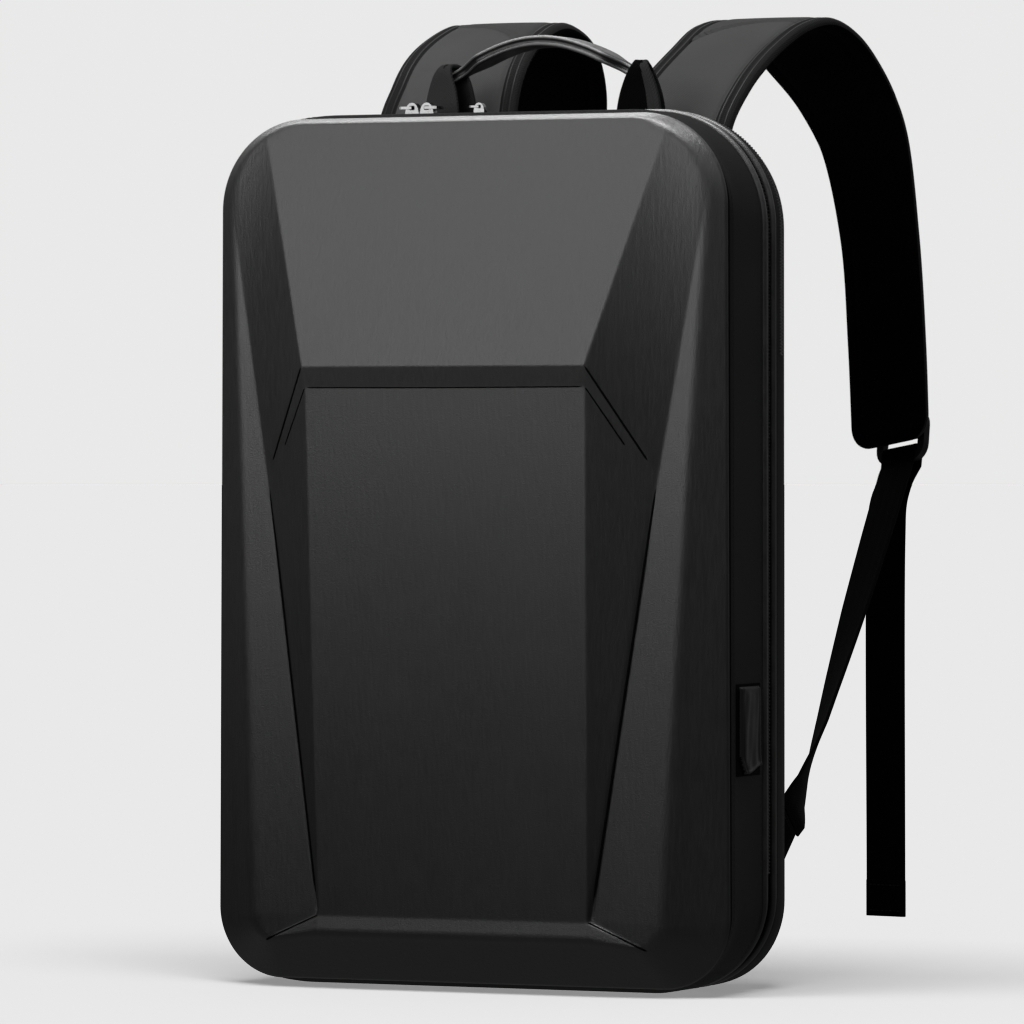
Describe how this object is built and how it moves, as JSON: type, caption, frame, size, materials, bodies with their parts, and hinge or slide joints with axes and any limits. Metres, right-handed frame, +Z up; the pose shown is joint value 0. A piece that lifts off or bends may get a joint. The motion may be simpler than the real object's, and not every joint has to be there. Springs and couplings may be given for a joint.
{
  "type": "backpack",
  "caption": "Slim laptop backpack with a moulded faceted front shell, zipped fabric body, padded shoulder straps and carry handle",
  "frame": {"origin": "on the floor under the middle of the bag, 23.5 mm behind the plane of the front shell's seam", "axes": "+X to the right as seen from the front, +Y from the front shell to the back panel, +Z up"},
  "size_m": [0.2947, 0.3613, 0.5163],
  "materials": {
    "shell": "satin moulded, fine grain",
    "fabric": "plain weave, coated",
    "piping": "smooth satin cord",
    "zip": "black nylon teeth",
    "strap": "woven face with dark binding",
    "webbing": "ribbed webbing",
    "buckle": "moulded black",
    "metal": "polished"
  },
  "bodies": {
    "bag": {"front_shell": "shell", "front_gusset": "fabric", "front_piping": "piping", "zip_tape": "fabric", "main_zip_coil": "zip", "rear_piping": "piping", "rear_gusset": "fabric", "rear_zip_coil": "zip", "back_panel": "fabric", "handle_grip": "strap", "handle_loop_left": "fabric", "handle_loop_right": "fabric", "strap_pad_left": "strap", "strap_pad_right": "strap", "buckle_loop_left": "webbing", "buckle_loop_right": "webbing", "ladder_lock_left": "buckle", "ladder_lock_right": "buckle", "webbing_left": "webbing", "webbing_right": "webbing", "anchor_tab_left": "fabric", "anchor_tab_right": "fabric", "port_flap": "fabric", "zip_slider_1": "metal", "zip_slider_2": "metal", "zip_slider_3": "metal"},
    "pull_1": {"zip_pull_1": "metal"},
    "pull_2": {"zip_pull_2": "metal"},
    "pull_3": {"zip_pull_3": "metal"}
  },
  "joints": [
    {"name": "pull_1_hinge", "type": "hinge", "parent": "bag", "child": "pull_1", "pos_m": [-0.059, 0.0307, 0.4623], "axis": [0, 1, 0], "range_deg": [0, 100]},
    {"name": "pull_2_hinge", "type": "hinge", "parent": "bag", "child": "pull_2", "pos_m": [-0.0504, 0.0307, 0.4623], "axis": [0, -1, 0], "range_deg": [0, 100]},
    {"name": "pull_3_hinge", "type": "hinge", "parent": "bag", "child": "pull_3", "pos_m": [-0.0275, 0.0465, 0.4632], "axis": [0, 1, 0], "range_deg": [0, 170]}
  ]
}
